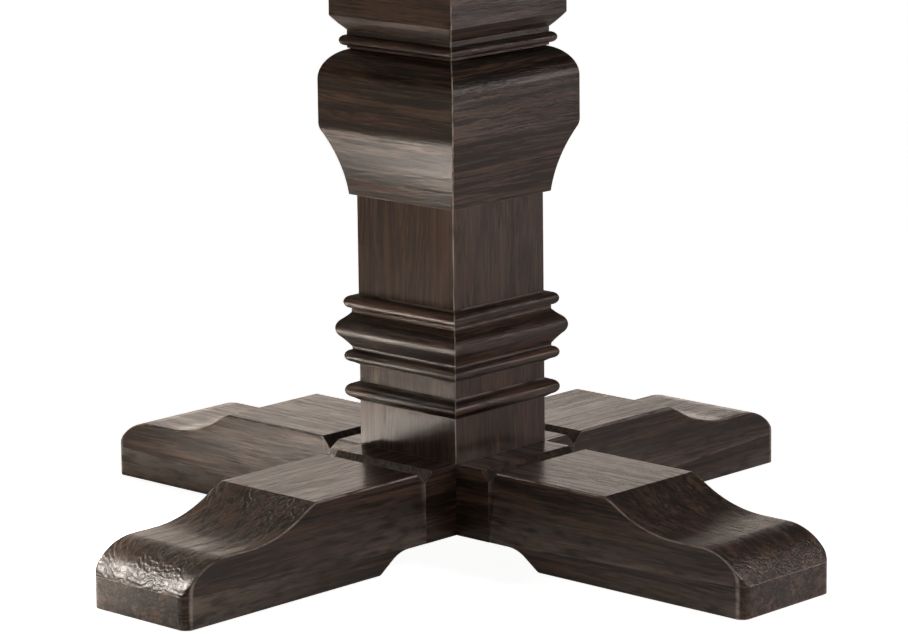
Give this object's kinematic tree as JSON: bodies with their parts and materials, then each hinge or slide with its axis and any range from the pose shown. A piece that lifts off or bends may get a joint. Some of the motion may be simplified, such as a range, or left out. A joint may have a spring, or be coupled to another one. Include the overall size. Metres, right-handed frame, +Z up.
{
  "type": "table base",
  "caption": "Pedestal table base: a square column with a swelling capital and mitred mouldings on a cross of ogee feet, with crossed bearers that a top screws to.",
  "frame": {"origin": "on the floor below the column's axis, at the bottom centre of the whole base", "axes": "+Z up the column towards the table top; the four feet run along +X, -X, +Y and -Y"},
  "size_m": [1, 1, 0.72],
  "materials": {
    "dark_oak": "open-grained oak, espresso stain, glossy clear lacquer",
    "bare_wood": "planed, unfinished",
    "zinc_steel": "bright zinc plate",
    "glide_plastic": "moulded nylon"
  },
  "bodies": {
    "root": {"band_collar_back": "dark_oak", "band_collar_front": "dark_oak", "band_collar_left": "dark_oak", "band_collar_right": "dark_oak", "band_lower_bead_back": "dark_oak", "band_lower_bead_front": "dark_oak", "band_lower_bead_left": "dark_oak", "band_lower_bead_right": "dark_oak", "band_upper_bead_back": "dark_oak", "band_upper_bead_front": "dark_oak", "band_upper_bead_left": "dark_oak", "band_upper_bead_right": "dark_oak", "base_bead_back": "dark_oak", "base_bead_front": "dark_oak", "base_bead_left": "dark_oak", "base_bead_right": "dark_oak", "bearer_lower": "dark_oak", "bearer_screws": "zinc_steel", "bearer_upper": "dark_oak", "cap_bead_back": "dark_oak", "cap_bead_front": "dark_oak", "cap_bead_left": "dark_oak", "cap_bead_right": "dark_oak", "capital_board_back": "dark_oak", "capital_board_front": "dark_oak", "capital_board_left": "dark_oak", "capital_board_right": "dark_oak", "column_base_block": "bare_wood", "column_board_back": "dark_oak", "column_board_front": "dark_oak", "column_board_left": "dark_oak", "column_board_right": "dark_oak", "column_top_block": "bare_wood", "crown_board_back": "dark_oak", "crown_board_front": "dark_oak", "crown_board_left": "dark_oak", "crown_board_right": "dark_oak", "foot_back": "dark_oak", "foot_front": "dark_oak", "foot_left": "dark_oak", "foot_right": "dark_oak", "hub_beam_lower": "dark_oak", "hub_beam_upper": "dark_oak", "seam_bolt_nuts": "zinc_steel", "seam_bolt_washers": "zinc_steel", "seam_bolts": "zinc_steel", "seam_dowels": "bare_wood", "tie_rod": "zinc_steel", "tie_rod_nuts": "zinc_steel", "tie_rod_washers": "zinc_steel", "toe_glides": "glide_plastic"}
  },
  "joints": []
}
